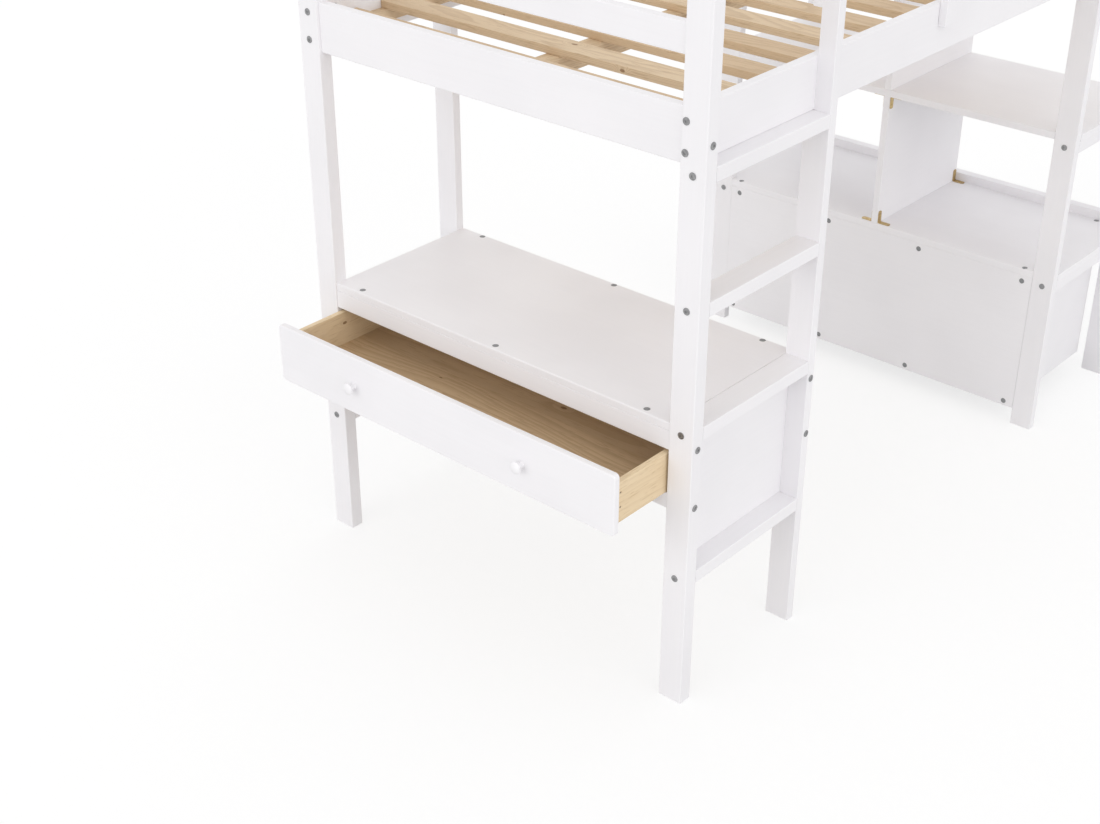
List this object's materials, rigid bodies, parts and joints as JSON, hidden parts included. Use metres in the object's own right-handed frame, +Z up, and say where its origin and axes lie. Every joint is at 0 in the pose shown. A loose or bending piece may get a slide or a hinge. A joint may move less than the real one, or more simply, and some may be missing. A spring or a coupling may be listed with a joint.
{
  "type": "loft bed with desk and shelf tower",
  "caption": "White painted loft bed with a slatted deck, a ladder at its side, a desk with a sliding drawer under the near end and a shelf tower under the far end.",
  "frame": {"origin": "on the floor, in the middle of the bed's overall box at rest, with the drawer pulled out as it is pictured", "axes": "+Z up, +Y from the desk end to the shelf end, so the drawer opens towards -Y, +X to the right as seen from the desk end, towards the ladder"},
  "size_m": [1.073, 2.1754, 1.64],
  "materials": {
    "white_paint": "satin white paint over pine",
    "bare_pine": "bare planed pine",
    "bolt_steel": "dull grey zinc plate",
    "zinc_steel": "yellow passivated zinc plate",
    "cap_plastic": "matt grey"
  },
  "bodies": {
    "frame": {"end_post_left": "white_paint", "end_post_right": "white_paint", "far_post_left": "white_paint", "far_post_right": "white_paint", "shelf_post_left": "white_paint", "shelf_post_right": "white_paint", "inner_post_left": "white_paint", "ladder_post": "white_paint", "side_rail_left": "white_paint", "side_rail_right": "white_paint", "end_rail_near": "white_paint", "end_rail_far": "white_paint", "guard_boards_near": "white_paint", "guard_boards_far": "white_paint", "guard_boards_left": "white_paint", "guard_boards_right": "white_paint", "guard_uprights": "white_paint", "ladder_rung_1": "white_paint", "ladder_rung_2": "white_paint", "ladder_rung_3": "white_paint", "ladder_rung_4": "white_paint", "desk_stretcher_left": "white_paint", "desk_top": "white_paint", "desk_apron_front": "white_paint", "desk_apron_back": "white_paint", "desk_lower_rail_front": "white_paint", "desk_lower_rail_back": "white_paint", "desk_side_panel_left": "white_paint", "desk_side_panel_right": "white_paint", "cabinet_panel": "white_paint", "far_stretcher": "white_paint", "cabinet_top": "white_paint", "shelf_board": "white_paint", "cabinet_stretcher_left": "white_paint", "cabinet_stretcher_right": "white_paint", "shelf_stretcher_left": "white_paint", "shelf_stretcher_right": "white_paint", "cabinet_side_left": "white_paint", "cabinet_side_right": "white_paint", "cabinet_bottom": "white_paint", "cabinet_partitions": "white_paint", "shelf_divider_lower": "white_paint", "shelf_divider_upper": "white_paint", "slat_ledger_left": "bare_pine", "slat_ledger_right": "bare_pine", "centre_beam": "bare_pine", "bed_slats": "bare_pine", "drawer_runner_left": "bare_pine", "drawer_runner_right": "bare_pine", "frame_bolts": "bolt_steel", "barrel_nuts": "bolt_steel", "shelf_brackets": "zinc_steel", "screw_caps": "cap_plastic"},
    "drawer": {"drawer_front": "white_paint", "drawer_side_left": "bare_pine", "drawer_side_right": "bare_pine", "drawer_back": "bare_pine", "drawer_bottom": "bare_pine", "drawer_knobs": "white_paint", "drawer_screws": "bolt_steel"}
  },
  "joints": [
    {"name": "drawer_slide", "type": "slide", "parent": "frame", "child": "drawer", "axis": [0, -1, 0], "range_m": [-0.1555, 0.094]}
  ]
}
